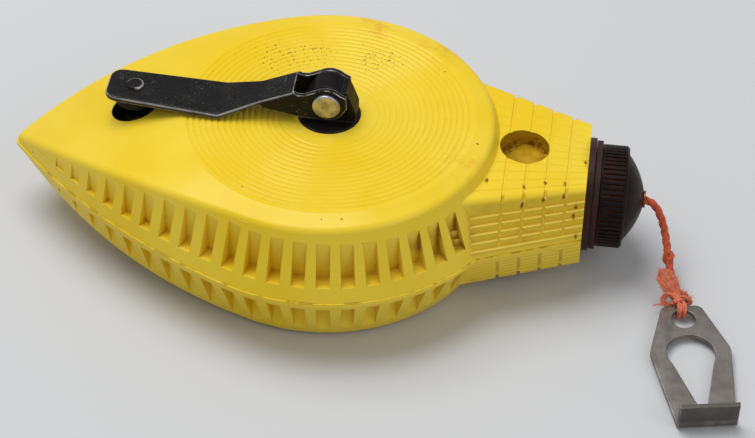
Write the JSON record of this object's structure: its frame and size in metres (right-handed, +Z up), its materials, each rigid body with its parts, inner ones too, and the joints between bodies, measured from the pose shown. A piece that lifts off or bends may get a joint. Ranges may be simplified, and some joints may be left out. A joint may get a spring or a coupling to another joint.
{
  "type": "chalk line reel",
  "caption": "Hand-cranked chalk line reel: teardrop plastic case with a folding crank, a screw cap on its neck and a short lead of line ending in a flat steel hook",
  "frame": {"origin": "on the spool's turning axis, in the flat face of the underside that the case rests on", "axes": "+X from the pointed tip to the cap along the case, +Z up the spool axis to the crank, +Y to the left of +X"},
  "size_m": [0.224, 0.1314, 0.057],
  "materials": {
    "yellow_shell": "satin moulded yellow plastic with dark chalk dust in its grooves",
    "bare_steel": "worn grey stamped steel, finely scratched",
    "cap_brown": "near-black moulded plastic dusted with red chalk between its ribs",
    "spout_brown": "dark plastic stained reddish brown by chalk",
    "black_rubber": "soft black rubber",
    "grey_felt": "pressed grey felt",
    "bush_brass": "dull turned brass",
    "white_plastic": "plain pale moulded plastic",
    "orange_line": "twisted cotton line soaked with red-orange chalk",
    "frayed_line": "flattened frayed end of the line, paler orange",
    "black_plastic": "black moulded plastic, slightly worn",
    "black_steel": "black painted sheet steel worn bright along its edges",
    "grey_metal": "mottled bare grey rivet metal"
  },
  "bodies": {
    "case": {"upper_case": "yellow_shell", "lower_case": "yellow_shell", "case_screws": "bare_steel", "neck_spout": "spout_brown", "hub_seal": "grey_felt", "lower_bush": "bush_brass", "thrust_washer": "white_plastic", "inner_line": "orange_line"},
    "reel": {"spool_drum": "white_plastic", "spool_flange": "white_plastic", "wound_line": "orange_line", "drive_hub": "black_plastic", "hub_screw": "bare_steel", "hub_washer": "bare_steel"},
    "crank": {"crank_arm": "black_steel", "crank_pin": "grey_metal", "knob_rivet": "black_steel"},
    "knob": {"crank_knob": "black_plastic"},
    "lead": {"cap_gasket": "black_rubber", "nose_line": "orange_line", "line_lead": "orange_line", "stopper_knot": "orange_line", "hook_knot": "orange_line", "line_tail": "frayed_line"},
    "cap": {"screw_cap": "cap_brown", "nose_eyelet": "bush_brass", "felt_wiper": "grey_felt"},
    "hook": {"end_hook": "bare_steel"}
  },
  "joints": [
    {"name": "reel_spin", "type": "hinge", "parent": "case", "child": "reel", "pos_m": [0, 0, 0.022], "axis": [0, 0, 1], "continuous": true},
    {"name": "crank_fold", "type": "hinge", "parent": "reel", "child": "crank", "pos_m": [0, 0, 0.0515], "axis": [0, 1, 0], "range_deg": [0, 180]},
    {"name": "knob_spin", "type": "hinge", "parent": "crank", "child": "knob", "pos_m": [-0.0584, 0, 0.04787], "axis": [0.0715, 0, 0.9974], "continuous": true},
    {"name": "cap_draw", "type": "slide", "parent": "case", "child": "lead", "axis": [1, 0, 0], "range_m": [0, 0.00901]},
    {"name": "cap_turn", "type": "hinge", "parent": "lead", "child": "cap", "pos_m": [0.082, 0, 0.022], "axis": [1, 0, 0], "range_deg": [0, 1080]},
    {"name": "hook_swing", "type": "hinge", "parent": "lead", "child": "hook", "pos_m": [0.10941, -0.0261, 0.00295], "axis": [-0.9792, -0.2028, 0], "range_deg": [0, 100]}
  ],
  "couplings": [
    {"joint": "cap_draw", "follows": "cap_turn", "m_per_rad": 0.00047746}
  ]
}
